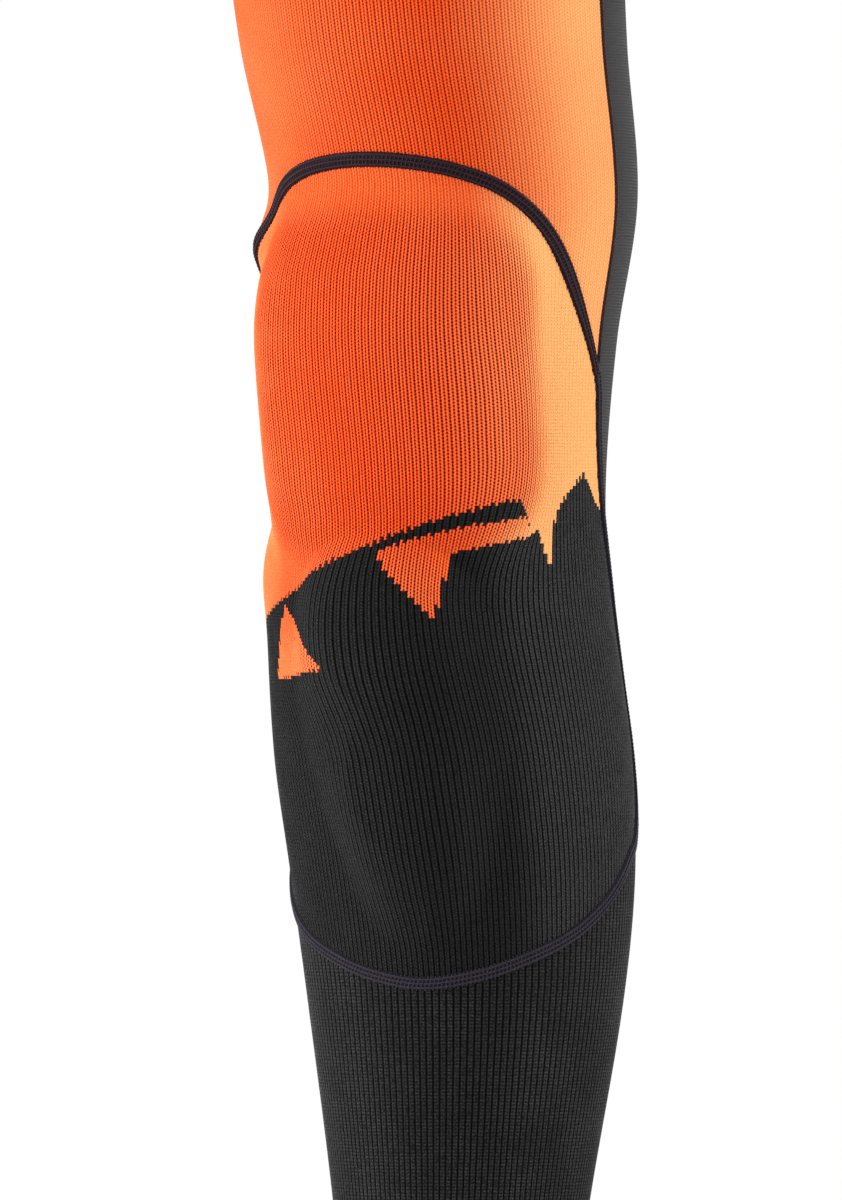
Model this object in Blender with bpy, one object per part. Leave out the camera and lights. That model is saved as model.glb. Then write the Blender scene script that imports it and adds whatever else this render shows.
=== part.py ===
"""Knee guard: a long knitted compression sleeve with a soft impact pad in a pocket over the knee and shin.

The sleeve is modelled as it sits on a straight leg, without the leg. The origin is the centre of the
knee, +Z runs up the thigh and -Y out through the kneecap, so +X is the sleeve's side with the shorter
half of the front arch seam. Lengths below are millimetres and angles are degrees.

Every piece is a layer at some height over the leg's skin. A place on the skin is an angle round the leg,
counted from the middle of the knee panel towards +X, and a height. The panels turn slightly round the
leg on the way down, as the shin does, and turn_at gives that turn.
"""

import math

import bmesh
import bpy

MM = 0.001

# Heights along the leg
TOP_HEM = 212.0
TOP_CUFF_LOW = 172.0
CALF_SEAM = -138.0
BOTTOM_CUFF_HIGH = -300.0
BOTTOM_HEM = -332.0

# Layers over the skin: how far out each one starts and ends
FABRIC = (0.0, 1.8)
CUFF = (0.0, 2.4)
LINING = (0.0, 0.8)
CARRIER = (1.8, 2.4)
PAD_BACK = 3.4
PAD_EDGE_THICK = 2.4
PAD_THICK = 7.4
PAD_SLOPE = 26.0
COVER_SLACK = 1.7
SEAM = (2.4, 3.2)
CUFF_SEAM = (2.9, 3.6)
GRIP = (-1.5, -0.4)
GRIPS = (("thigh_grip_upper", 197.0, 205.0), ("thigh_grip_lower", 180.0, 188.0), ("calf_grip", -324.0, -316.0))

# Cloth edges and seams
BACK_EDGE = 87.7
BACK_SEAM_ANGLE = 87.25
BACK_SEAM_ENDS = (167.0, 48.0)
EDGE_GAP = 0.004
BACK_PANEL_GAP = 0.012
CUFF_GAP = 0.5
CALF_SEAM_GAP = 0.6
BACK_SEAM_ROWS = (130.0, 90.0)
SIDE_SEAM_TUCK = (1.5, 6.0)
CALF_SEAM_START = 5.0
ARCH_SEAM_WIDTH = 6.0
LOWER_SEAM_WIDTH = 5.0
SIDE_SEAM_WIDTH = 4.0
BACK_SEAM_WIDTH = 2.4
TOP_CUFF_SEAM_WIDTH = 5.0
BOTTOM_CUFF_SEAM_WIDTH = 4.0

# Meshes of the panels: the height that the knee panel's rings close in on, the rings' shares of the way from
# there to its edge, rows down a panel as shares, rows and columns of the back panel, and steps round the calf
PANEL_CENTRE = -45.0
PANEL_RINGS = (0.1, 0.2, 0.3, 0.4, 0.5, 0.6, 0.69, 0.77, 0.84, 0.905, 0.965, 1.0 - EDGE_GAP)
PANEL_ROWS = (0.0, 0.35, 0.7, 1.0)
BACK_PANEL_ROWS = (130.0, 90.0, 55.0)
BACK_PANEL_COLUMNS = 14
CALF_STEPS = 12

# The pad, as rounded boxes on the skin: centre height, half height, half width, and squareness of the corners
CUP_BOX = (24.0, 63.0, 61.0, 3.6)
SHIN_BOX = (-98.0, 74.0, 32.0, 2.6)
SHIN_TAPER = (6.0, 60.0, 180.0)
TENT = (3.5, 10.3)
PAD_FIT = 0.94
POCKET_MARGIN = 5.0
CUSHION = (20.0, -9.0, 25.0)
CUSHION_THICK = 2.2
RECESS = 2.8

# The pad's moulded segments: name, upper and lower end, and rows of the mesh
PAD_SEGMENTS = (
    ("pad_thigh_flap", 83.0, 59.0, 5),
    ("pad_knee_cup", 56.0, -40.0, 11),
    ("pad_shin_upper", -46.0, -111.0, 7),
    ("pad_shin_lower", -114.0, -158.0, 6),
)
RECESSED = "pad_knee_cup"

# Columns of the pad's mesh, as shares of its half width
PAD_COLUMNS = (-1.0, -0.93, -0.76, -0.6, -0.42, -0.2, 0.0, 0.2, 0.42, 0.6, 0.76, 0.93, 1.0)

# Turn of the panels round the leg: degrees at the top and the bottom of the knee panel
TURN_TOP = (105.0, -10.0)
TURN_BOTTOM = (-195.0, 2.0)

# The leg, as height, half width, shift to +X and to +Y, and depth to the front and back over the half width
LEG = (
    (212.0, 73.2, -7.7, -12.6, 1.04, 1.00),
    (150.0, 70.4, -4.0, -7.0, 1.04, 1.00),
    (93.0, 66.7, 1.6, 1.1, 1.02, 0.98),
    (40.0, 63.2, -1.4, -3.0, 1.05, 0.95),
    (-15.0, 59.0, -1.0, -3.9, 1.07, 0.93),
    (-56.0, 62.2, -2.4, -4.0, 1.04, 0.98),
    (-110.0, 64.8, -0.2, 3.2, 1.00, 1.05),
    (-156.0, 62.5, 2.7, 6.6, 0.98, 1.08),
    (-204.0, 57.1, 3.2, 8.7, 0.98, 1.08),
    (-278.0, 46.2, 2.9, 4.7, 1.00, 1.06),
    (-332.0, 40.0, 2.2, 1.7, 1.02, 1.04),
)

# Right half of the knee panel's outline, from the top of the arch to the bottom, as angle and height
PANEL_CORNERS = (
    (0.0, 106.5),
    (15.0, 105.3),
    (29.0, 101.8),
    (42.5, 95.0),
    (56.0, 81.5),
    (69.5, 60.5),
    (86.5, 28.0),
    (90.5, 6.0),
    (95.5, -20.0),
    (107.0, -54.0),
    (116.0, -95.0),
    (104.0, -138.0),
    (90.0, -152.0),
    (75.0, -165.5),
    (56.5, -178.5),
    (37.5, -187.5),
    (19.0, -194.0),
    (0.0, -197.0),
)
RIGHT_TAIL = 6
CALF_CORNER = 11
STEPS_PER_CORNER = 2


# ---- Shape of the leg and of the pad ----


def smooth(x, low, high):
    t = min(1.0, max(0.0, (x - low) / (high - low)))
    return t * t * (3.0 - 2.0 * t)


def between(values, slopes, t):
    """A cubic between two values with given slopes."""
    a, b = values
    return (
        (2 * t**3 - 3 * t**2 + 1) * a
        + (t**3 - 2 * t**2 + t) * slopes[0]
        + (3 * t**2 - 2 * t**3) * b
        + (t**3 - t**2) * slopes[1]
    )


def leg_at(z):
    """The leg's numbers at a height, from a cubic through the rows of LEG."""
    i = 0
    while i < len(LEG) - 2 and z < LEG[i + 1][0]:
        i += 1
    a, b = LEG[i], LEG[i + 1]
    before, after = LEG[max(0, i - 1)], LEG[min(len(LEG) - 1, i + 2)]
    step = b[0] - a[0]
    found = []
    for k in range(1, len(a)):
        slope_a = (b[k] - before[k]) / (b[0] - before[0]) * step
        slope_b = (after[k] - a[k]) / (after[0] - a[0]) * step
        found.append(between((a[k], b[k]), (slope_a, slope_b), (z - a[0]) / step))
    return found


def rounded(corners, steps):
    """More places along a route, on a curve through its corners."""
    route = []
    for i in range(len(corners) - 1):
        a, b = corners[i], corners[i + 1]
        before = corners[i - 1] if i else (-b[0], b[1])
        after = corners[i + 2] if i + 2 < len(corners) else (-a[0], a[1])
        for step in range(steps):
            t = step / steps
            route.append(
                tuple(
                    between((a[k], b[k]), (0.5 * (b[k] - before[k]), 0.5 * (after[k] - a[k])), t)
                    for k in (0, 1)
                )
            )
    return route + [corners[-1]]


PANEL_HALF = rounded(PANEL_CORNERS, STEPS_PER_CORNER)
RIGHT_TAIL *= STEPS_PER_CORNER
CALF_CORNER *= STEPS_PER_CORNER


def turn_at(z):
    high, at_high = TURN_TOP
    low, at_low = TURN_BOTTOM
    t = min(1.0, max(0.0, (high - z) / (high - low)))
    return at_high + t * (at_low - at_high)


def place(angle, z, out):
    """The point at an angle and a height, that far out from the skin, in metres."""
    half, shift_x, shift_y, front, back = leg_at(z)
    round_leg = math.radians(angle + turn_at(z))
    depth = half * (front if math.cos(round_leg) > 0 else back)
    x = shift_x + (half + out) * math.sin(round_leg)
    y = shift_y - (depth + out) * math.cos(round_leg)
    return (x * MM, y * MM, z * MM)


def outside(angle, z, box):
    """How far a place lies outside a rounded box on the skin; negative inside it."""
    centre, tall, wide, square = box
    u = math.radians(angle) * leg_at(z)[0]
    far = math.hypot(u, z - centre)
    ratio = (abs(u / wide) ** square + abs((z - centre) / tall) ** square) ** (1.0 / square)
    return far * (1.0 - 1.0 / ratio) if ratio > 0.05 else -wide


def shin_box(z):
    """The shin part of the pad, narrower towards its lower end."""
    centre, tall, wide, square = SHIN_BOX
    narrower, start, end = SHIN_TAPER
    return centre, tall, wide - narrower * smooth(-z, start, end), square


def outside_pad(angle, z):
    return min(outside(angle, z, CUP_BOX), outside(angle, z, shin_box(z)))


def pad_thickness(angle, z):
    """The pad is thin along its edge and rises to its full thickness over PAD_SLOPE."""
    return PAD_EDGE_THICK + (PAD_THICK - PAD_EDGE_THICK) * smooth(-outside_pad(angle, z), 0.0, PAD_SLOPE)


def cover_height(angle, z):
    """Where the knee panel's inner face lies: level with the sleeve at the seam, and tented over the pad."""
    tent = 1.0 - smooth(outside_pad(angle, z), *TENT)
    return tent * (PAD_BACK + pad_thickness(angle, z) + COVER_SLACK)


def half_angle(z, box):
    """Half the angle that a rounded box spans at a height."""
    centre, tall, wide, square = box
    part = max(0.0, 1.0 - abs((z - centre) / tall) ** square)
    return math.degrees(wide * part ** (1.0 / square) / leg_at(z)[0])


# ---- Making solids ----


def material(name, colour, roughness):
    made = bpy.data.materials.new(name)
    made.use_nodes = True
    shader = made.node_tree.nodes["Principled BSDF"]
    shader.inputs["Base Color"].default_value = (*colour, 1.0)
    shader.inputs["Roughness"].default_value = roughness
    made.diffuse_color = (*colour, 1.0)
    return made


def add_object(name, points, faces, surface):
    mesh = bpy.data.meshes.new(name)
    mesh.from_pydata(points, [], faces)
    work = bmesh.new()
    work.from_mesh(mesh)
    bmesh.ops.recalc_face_normals(work, faces=work.faces)
    work.to_mesh(mesh)
    work.free()
    mesh.shade_smooth()
    mesh.set_sharp_from_angle(angle=math.radians(40))
    mesh.materials.append(surface)
    made = bpy.data.objects.new(name, mesh)
    bpy.context.scene.collection.objects.link(made)
    return made


def sheet_solid(name, inner, outer, surface, closed=False):
    """A solid between two grids of points. A closed one joins its last column to its first."""
    rows, columns = len(inner), len(inner[0])
    points = [p for row in inner + outer for p in row]
    shift = rows * columns

    def at(row, column):
        return row * columns + column % columns

    faces = []
    steps = columns if closed else columns - 1
    for r in range(rows - 1):
        for c in range(steps):
            quad = [at(r, c), at(r, c + 1), at(r + 1, c + 1), at(r + 1, c)]
            faces.append(quad)
            faces.append([k + shift for k in reversed(quad)])
    for c in range(steps):
        for r in (0, rows - 1):
            faces.append([at(r, c), at(r, c + 1), at(r, c + 1) + shift, at(r, c) + shift])
    if not closed:
        for r in range(rows - 1):
            for c in (0, columns - 1):
                faces.append([at(r, c), at(r + 1, c), at(r + 1, c) + shift, at(r, c) + shift])
    return add_object(name, points, faces, surface)


def layer(name, places, low, high, surface, closed=False):
    """A sheet of constant thickness over a grid of places on the skin."""
    inner = [[place(a, z, low) for a, z in row] for row in places]
    outer = [[place(a, z, high) for a, z in row] for row in places]
    return sheet_solid(name, inner, outer, surface, closed)


def patch_solid(name, outline, shares, low, high, surface):
    """A sheet that fills an outline, made of rings round the panel's centre. low and high give the heights
    of its two faces at an angle and a height."""
    count = len(outline)
    points, faces = [], []
    for height in (low, high):
        base = len(points)
        points.append(place(0.0, PANEL_CENTRE, height(0.0, PANEL_CENTRE)))
        for share in shares:
            for a, z in outline:
                ring_z = PANEL_CENTRE + share * (z - PANEL_CENTRE)
                points.append(place(a * share, ring_z, height(a * share, ring_z)))
        for k in range(count):
            faces.append([base, base + 1 + k, base + 1 + (k + 1) % count])
        for ring in range(len(shares) - 1):
            first = base + 1 + ring * count
            for k in range(count):
                n = (k + 1) % count
                faces.append([first + k, first + n, first + count + n, first + count + k])
    side = 1 + count * len(shares)
    rim = 1 + count * (len(shares) - 1)
    for k in range(count):
        n = (k + 1) % count
        faces.append([rim + k, rim + n, side + rim + n, side + rim + k])
    return add_object(name, points, faces, surface)


def seam(name, route, width, heights, surface, closed=False):
    """A flat band of stitches along places on the skin."""
    left, right = [], []
    for i, (a, z) in enumerate(route):
        if closed:
            before, after = route[i - 1], route[(i + 1) % len(route)]
        else:
            before, after = route[max(0, i - 1)], route[min(len(route) - 1, i + 1)]
        radius = math.radians(1.0) * leg_at(z)[0]
        along = (after[0] - before[0] + 180.0) % 360.0 - 180.0
        run, rise = along * radius, after[1] - before[1]
        scale = 0.5 * width / math.hypot(run, rise)
        left.append((a - rise * scale / radius, z + run * scale))
        right.append((a + rise * scale / radius, z - run * scale))
    return layer(name, [left, right], *heights, surface, closed)


def band(name, low_z, high_z, heights, surface, steps=48):
    angles = [360.0 * k / steps for k in range(steps)]
    return layer(name, [[(a, z) for a in angles] for z in (low_z, high_z)], *heights, surface, closed=True)


# ---- The knee panel's outline and what borders it ----


def outline_of_panel():
    """The whole outline, from the top of the arch down the right side and up the left."""
    left = [(-a, z) for a, z in reversed(PANEL_HALF[1:-1])]
    return list(PANEL_HALF) + left


def moved_out(place_on_skin, share):
    a, z = place_on_skin
    return (a * (1.0 + share), PANEL_CENTRE + (z - PANEL_CENTRE) * (1.0 + share))


def arch_half():
    """The arch from the right tail over the top to the left tail, just outside the knee panel."""
    right = [moved_out(p, EDGE_GAP) for p in PANEL_HALF[: RIGHT_TAIL + 1]]
    return [(-a, z) for a, z in reversed(right[1:])] + right


def round_the_back(start, steps):
    """Angles in equal steps from one side of the leg round the back to the other side."""
    return [start + (360.0 - 2.0 * start) * k / steps for k in range(steps + 1)]


def panels(orange, orange_black, grey, black):
    arch = arch_half()
    top = TOP_CUFF_LOW - CUFF_GAP
    rows = [[(a, z + s * (top - z)) for a, z in arch] for s in PANEL_ROWS]
    layer("thigh_panel", rows, *FABRIC, orange)

    outline = [(a * (1.0 - EDGE_GAP), z) for a, z in outline_of_panel()]
    patch_solid(
        "knee_panel",
        outline,
        PANEL_RINGS,
        cover_height,
        lambda a, z: cover_height(a, z) + FABRIC[1],
        orange_black,
    )

    edge = [(BACK_EDGE, z) for z in (top, *BACK_PANEL_ROWS)]
    edge += [moved_out(p, BACK_PANEL_GAP) for p in PANEL_HALF[RIGHT_TAIL : CALF_CORNER + 1]]
    edge[-1] = (edge[-1][0], CALF_SEAM)
    rows = []
    for a, z in edge:
        side = max(a, BACK_EDGE)
        rows.append([(b, z) for b in round_the_back(side, BACK_PANEL_COLUMNS)])
    layer("back_panel", rows, *FABRIC, grey)

    front = [moved_out(p, EDGE_GAP) for p in PANEL_HALF[CALF_CORNER:]]
    front = [(-a, z) for a, z in front[:-1]] + list(reversed(front))
    corner = front[-1][0]
    calf_top = CALF_SEAM - CALF_SEAM_GAP
    behind = [(a, calf_top) for a in round_the_back(corner, CALF_STEPS)[1:-1]]
    front[0] = (front[0][0], calf_top)
    front[-1] = (front[-1][0], calf_top)
    ring = front + behind
    low = BOTTOM_CUFF_HIGH + CUFF_GAP
    rows = [[(a, z + s * (low - z)) for a, z in ring] for s in PANEL_ROWS]
    layer("calf_sleeve", rows, *FABRIC, black, closed=True)


def cuffs_and_grips(grey, black, silicone):
    band("top_cuff", TOP_CUFF_LOW, TOP_HEM, CUFF, grey)
    band("bottom_cuff", BOTTOM_HEM, BOTTOM_CUFF_HIGH, CUFF, black)
    for name, low, high in GRIPS:
        band(name, low, high, GRIP, silicone)


def seams(thread):
    arch = arch_half()
    seam("upper_arch_seam", arch, ARCH_SEAM_WIDTH, SEAM, thread)
    for side, sign in (("left", -1.0), ("right", 1.0)):
        high, low = BACK_SEAM_ENDS
        route = [(sign * BACK_SEAM_ANGLE, z) for z in (high, *BACK_SEAM_ROWS, low)]
        seam(side + "_back_seam", route, BACK_SEAM_WIDTH, SEAM, thread)
        route = [(sign * a, z) for a, z in PANEL_HALF[RIGHT_TAIL + 1 : CALF_CORNER + 1]]
        route[-1] = (route[-1][0] + sign * SIDE_SEAM_TUCK[0], route[-1][1] + SIDE_SEAM_TUCK[1])
        seam(side + "_side_seam", route, SIDE_SEAM_WIDTH, SEAM, thread)
    lower = [(-a, z) for a, z in PANEL_HALF[CALF_CORNER:-1]] + list(reversed(PANEL_HALF[CALF_CORNER:]))
    seam("lower_arch_seam", lower, LOWER_SEAM_WIDTH, SEAM, thread)
    start = PANEL_HALF[CALF_CORNER][0] + CALF_SEAM_START
    back = [(a, CALF_SEAM) for a in round_the_back(start, CALF_STEPS)]
    seam("calf_back_seam", back, SIDE_SEAM_WIDTH, SEAM, thread)
    for name, z, width in (
        ("top_cuff_seam", TOP_CUFF_LOW, TOP_CUFF_SEAM_WIDTH),
        ("bottom_cuff_seam", BOTTOM_CUFF_HIGH, BOTTOM_CUFF_SEAM_WIDTH),
    ):
        band(name, z - 0.5 * width, z + 0.5 * width, CUFF_SEAM, thread)


# ---- The pad ----


def pad_half_angle(z):
    return PAD_FIT * max(half_angle(z, CUP_BOX), half_angle(z, shin_box(z)))


def heights(high, low, rows):
    return [high + (low - high) * i / (rows - 1) for i in range(rows)]


def pad_piece(name, rows, foam):
    """One moulded segment. The recessed one is hollowed on its back, where the cushion sits."""
    inner, outer = [], []
    for z in rows:
        wide = pad_half_angle(z)
        inner_row, outer_row = [], []
        for s in PAD_COLUMNS:
            hollow = name == RECESSED and abs(s) < 0.5 and CUSHION[1] - 6.0 < z < CUSHION[2] + 6.0
            inner_row.append(place(s * wide, z, PAD_BACK + (RECESS if hollow else 0.0)))
            outer_row.append(place(s * wide, z, PAD_BACK + pad_thickness(s * wide, z)))
        inner.append(inner_row)
        outer.append(outer_row)
    return sheet_solid(name, inner, outer, foam)


def pad(foam, soft_foam, carrier_foam, mesh_cloth):
    carrier_rows = []
    for name, high, low, rows in PAD_SEGMENTS:
        pad_piece(name, heights(high, low, rows), foam)
        carrier_rows += heights(high, low, rows)
    wide, low, high = CUSHION
    rows = [[(wide * s, z) for s in (-1.0, -0.5, 0.0, 0.5, 1.0)] for z in heights(high, low, 3)]
    layer("knee_cushion", rows, PAD_BACK, PAD_BACK + CUSHION_THICK, soft_foam)
    rows = [[(pad_half_angle(z) * s, z) for s in PAD_COLUMNS] for z in carrier_rows]
    layer("pad_carrier", rows, *CARRIER, carrier_foam)
    top, bottom = carrier_rows[0], carrier_rows[-1]
    rows = []
    for z in (top + POCKET_MARGIN, *carrier_rows, bottom - POCKET_MARGIN):
        wide = pad_half_angle(min(max(z, bottom), top)) + POCKET_MARGIN
        rows.append([(wide * s, z) for s in PAD_COLUMNS])
    layer("pocket_lining", rows, *LINING, mesh_cloth)


def main():
    for old in list(bpy.data.objects):
        bpy.data.objects.remove(old, do_unlink=True)
    orange = material("orange_knit", (0.90, 0.16, 0.02), 0.75)
    orange_black = material("two_tone_knit", (0.45, 0.08, 0.02), 0.75)
    grey = material("charcoal_mesh", (0.045, 0.045, 0.047), 0.8)
    black = material("black_rib_knit", (0.016, 0.016, 0.018), 0.8)
    thread = material("navy_thread", (0.030, 0.024, 0.045), 0.6)
    mesh_cloth = material("lining_mesh", (0.03, 0.03, 0.03), 0.9)
    silicone = material("silicone", (0.35, 0.36, 0.38), 0.35)
    foam = material("impact_foam", (0.85, 0.35, 0.05), 0.55)
    soft_foam = material("soft_foam", (0.10, 0.10, 0.11), 0.9)
    carrier_foam = material("carrier_foam", (0.06, 0.06, 0.065), 0.9)
    panels(orange, orange_black, grey, black)
    cuffs_and_grips(grey, black, silicone)
    seams(thread)
    pad(foam, soft_foam, carrier_foam, mesh_cloth)


main()
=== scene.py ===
"""Looks of the knitted knee guard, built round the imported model.

Lengths are millimetres and angles are degrees until place() turns them into points in metres. A place on
the sleeve is an angle round the leg, counted from the middle of the knee panel towards +X, and a height.
"""

import math

import bmesh
import bpy
import numpy as np
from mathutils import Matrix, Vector


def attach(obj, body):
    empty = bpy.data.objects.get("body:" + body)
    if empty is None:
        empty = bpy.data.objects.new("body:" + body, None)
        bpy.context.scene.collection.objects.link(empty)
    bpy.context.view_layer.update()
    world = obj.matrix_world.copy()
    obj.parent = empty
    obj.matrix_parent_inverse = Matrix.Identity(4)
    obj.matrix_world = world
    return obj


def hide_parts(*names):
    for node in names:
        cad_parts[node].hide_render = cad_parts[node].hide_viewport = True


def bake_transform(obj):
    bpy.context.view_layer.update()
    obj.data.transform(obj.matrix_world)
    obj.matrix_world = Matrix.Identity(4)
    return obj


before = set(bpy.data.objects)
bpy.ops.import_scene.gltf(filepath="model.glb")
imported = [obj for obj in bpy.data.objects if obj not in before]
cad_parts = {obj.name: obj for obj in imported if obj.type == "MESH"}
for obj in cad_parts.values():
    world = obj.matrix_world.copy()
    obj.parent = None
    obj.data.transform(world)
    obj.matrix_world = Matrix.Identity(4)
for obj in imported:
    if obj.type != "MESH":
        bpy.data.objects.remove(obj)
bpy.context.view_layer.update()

MM = 0.001

# Heights along the leg, as the solids have them
TOP_HEM = 212.0
TOP_CUFF_LOW = 172.0
CALF_SEAM = -138.0
BOTTOM_CUFF_HIGH = -300.0
BOTTOM_HEM = -332.0

# Layers over the skin
CLOTH = 1.0
CUFF_THICK = 2.4
LINING = (0.1, 0.7)
CARRIER = (1.8, 2.4)
PAD_BACK = 3.4
PAD_EDGE_THICK = 2.4
PAD_THICK = 7.4
PAD_SLOPE = 26.0
COVER_SLACK = 1.7

# Knit: wales are the ribs up the leg, courses the rounds across it
THIGH_WALES = 164
KNEE_WALES = 184
BACK_WALES = 200
CALF_WALES = 138
COURSE = 1.25
COLUMNS_PER_WALE = 4
TWO_LEGS = (0.0, 1.0, 0.5, 1.0)
RIB = 0.34
EDGE_GAP = 0.3

# Seams
BACK_EDGE = 87.5
ARCH_SEAM_WIDTH = 6.0
LOWER_SEAM_WIDTH = 5.0
SIDE_SEAM_WIDTH = 3.6
SEAM_TAPER = 45.0
SEAM_FOOT = 0.9
SEAM_CROWN = 2.2
STITCH = 1.5

# The pad, as rounded boxes on the skin: centre height, half height, half width, and squareness of the corners
CUP_BOX = (24.0, 63.0, 61.0, 3.6)
SHIN_BOX = (-98.0, 74.0, 32.0, 2.6)
SHIN_TAPER = (6.0, 60.0, 180.0)
TENT = (-10.0, 15.0)
PAD_FIT = 0.94
POCKET_MARGIN = 5.0
FLAP_Z = (59.0, 83.0)
CUP_Z = (-40.0, 56.0)
SHIN_UPPER_Z = (-111.0, -46.0)
SHIN_LOWER_Z = (-158.0, -114.0)
CUSHION = (20.0, -9.0, 25.0)
CUSHION_THICK = 2.2
RECESS = 2.8

# Soft folds, as centre, size, lean and height: the sleeve's bulge over the pad's upper left corner, and the
# knee cover's own folds
SHOULDER = ((-62.0, 76.0), (12.0, 13.0), 0.0, 6.0)
FOLDS = (
    ((-66.0, -40.0), (14.0, 20.0), 0.0, 3.0),
    ((-34.0, -74.0), (2.6, 15.0), 68.0, 0.9),
    ((-30.0, -83.0), (2.6, 13.0), 74.0, 0.7),
    ((4.0, -176.0), (3.0, 11.0), -18.0, 0.8),
    ((12.0, -171.0), (2.6, 9.0), -22.0, 0.6),
)

# Turn of the panels round the leg: degrees at the top and the bottom of the knee panel
TURN_TOP = (105.0, -10.0)
TURN_BOTTOM = (-195.0, 2.0)

# The leg, as height, half width, shift to +X and to +Y, and depth to the front and back over the half width
LEG = (
    (212.0, 73.2, -7.7, -12.6, 1.04, 1.00),
    (150.0, 70.4, -4.0, -7.0, 1.04, 1.00),
    (93.0, 66.7, 1.6, 1.1, 1.02, 0.98),
    (40.0, 63.2, -1.4, -3.0, 1.05, 0.95),
    (-15.0, 59.0, -1.0, -3.9, 1.07, 0.93),
    (-56.0, 62.2, -2.4, -4.0, 1.04, 0.98),
    (-110.0, 64.8, -0.2, 3.2, 1.00, 1.05),
    (-156.0, 62.5, 2.7, 6.6, 0.98, 1.08),
    (-204.0, 57.1, 3.2, 8.7, 0.98, 1.08),
    (-278.0, 46.2, 2.9, 4.7, 1.00, 1.06),
    (-332.0, 40.0, 2.2, 1.7, 1.02, 1.04),
)

# Right half of the knee panel's outline, from the top of the arch to the bottom, as angle and height
PANEL_CORNERS = (
    (0.0, 106.5),
    (15.0, 105.3),
    (29.0, 101.8),
    (42.5, 95.0),
    (56.0, 81.5),
    (69.5, 60.5),
    (86.5, 28.0),
    (90.5, 6.0),
    (95.5, -20.0),
    (107.0, -54.0),
    (116.0, -95.0),
    (104.0, -138.0),
    (90.0, -152.0),
    (75.0, -165.5),
    (56.5, -178.5),
    (37.5, -187.5),
    (19.0, -194.0),
    (0.0, -197.0),
)
RIGHT_TAIL = 6
CALF_CORNER = 11
STEPS_PER_CORNER = 6

# Two-tone knit: black below a slanting edge, one stripe and plain points, as angle and height
SLANT = ((-125.0, -80.0), (-66.0, -63.0), (-36.0, -51.5), (-7.5, -39.0), (7.0, -31.5), (22.0, -25.5))
NOTCHES = ((35.5, -21.0), (47.0, -18.5), (51.0, -25.0), (53.0, -32.0), (57.0, -29.5), (62.0, -42.0))
PEAK = ((65.5, -24.5), (70.0, -18.0), (81.5, -8.5), (91.0, -20.0), (125.0, -40.0))
COLOUR_EDGE = SLANT + NOTCHES + PEAK
STRIPE_TOP = ((3.0, -37.5), (11.0, -34.0), (27.0, -29.0), (50.5, -25.0))
STRIPE_BELOW = STRIPE_TOP + ((53.0, -32.0), (28.0, -37.5), (14.0, -45.0))
POINTS = (
    ((3.5, -37.5), (25.5, -37.5), (18.5, -63.0), (4.0, -42.5)),
    ((-44.0, -57.0), (-17.0, -81.0), (-52.0, -85.0)),
)


# ---- Shape of the leg, the outline and the pad ----


def smooth(x, low, high):
    t = np.clip((x - low) / (high - low), 0.0, 1.0)
    return t * t * (3.0 - 2.0 * t)


def swell(x, middle, width):
    """A smooth rise to 1 at the middle and back to 0."""
    return np.exp(-(((x - middle) / width) ** 2))


def between(a, b, slope_a, slope_b, t):
    """A cubic between two values with given slopes."""
    return (
        (2 * t**3 - 3 * t**2 + 1) * a
        + (t**3 - 2 * t**2 + t) * slope_a
        + (3 * t**2 - 2 * t**3) * b
        + (t**3 - t**2) * slope_b
    )


def leg_at(z):
    """The leg's numbers at heights z, from a cubic through the rows of LEG."""
    rows = np.array(LEG)
    last = len(rows) - 1
    z = np.asarray(z, float)
    i = np.clip(np.searchsorted(-rows[:, 0], -z, side="left") - 1, 0, last - 1)
    a, b = rows[i], rows[i + 1]
    before, after = rows[np.maximum(i - 1, 0)], rows[np.minimum(i + 2, last)]
    step = (b - a)[..., :1]
    slope_a = (b - before) / (b - before)[..., :1] * step
    slope_b = (after - a) / (after - a)[..., :1] * step
    t = (z[..., None] - a[..., :1]) / step
    return np.moveaxis(between(a, b, slope_a, slope_b, t)[..., 1:], -1, 0)


def rounded(corners, steps):
    """More places along a route, on a curve through its corners."""
    c = np.array(corners)
    ends = np.vstack([(-c[1, 0], c[1, 1]), c, (-c[-2, 0], c[-2, 1])])
    t = np.arange(steps)[:, None] / steps
    route = []
    for before, a, b, after in zip(ends, ends[1:], ends[2:], ends[3:]):
        route.append(between(a, b, 0.5 * (b - before), 0.5 * (after - a), t))
    return np.vstack([*route, c[-1:]])


PANEL_HALF = rounded(PANEL_CORNERS, STEPS_PER_CORNER)
TAIL = RIGHT_TAIL * STEPS_PER_CORNER
CORNER = CALF_CORNER * STEPS_PER_CORNER
WIDEST = int(np.argmax(PANEL_HALF[:, 0]))


def top_edge(angle):
    return np.interp(np.abs(angle), PANEL_HALF[: WIDEST + 1, 0], PANEL_HALF[: WIDEST + 1, 1])


def low_edge(angle):
    return np.interp(np.abs(angle), PANEL_HALF[WIDEST:, 0][::-1], PANEL_HALF[WIDEST:, 1][::-1])


def side_edge(z):
    return np.interp(z, PANEL_HALF[:, 1][::-1], PANEL_HALF[:, 0][::-1])


def turn_at(z):
    high, at_high = TURN_TOP
    low, at_low = TURN_BOTTOM
    t = np.clip((high - z) / (high - low), 0.0, 1.0)
    return at_high + t * (at_low - at_high)


def wrinkle(angle, z, centre, size, lean, height):
    """One soft fold on the skin: a ridge of a given width across it, length along it, and lean."""
    u = np.radians(angle - centre[0]) * leg_at(z)[0]
    v = z - centre[1]
    c, s = math.cos(math.radians(lean)), math.sin(math.radians(lean))
    return height * np.exp(-(((u * c + v * s) / size[0]) ** 2) - ((v * c - u * s) / size[1]) ** 2)


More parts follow.
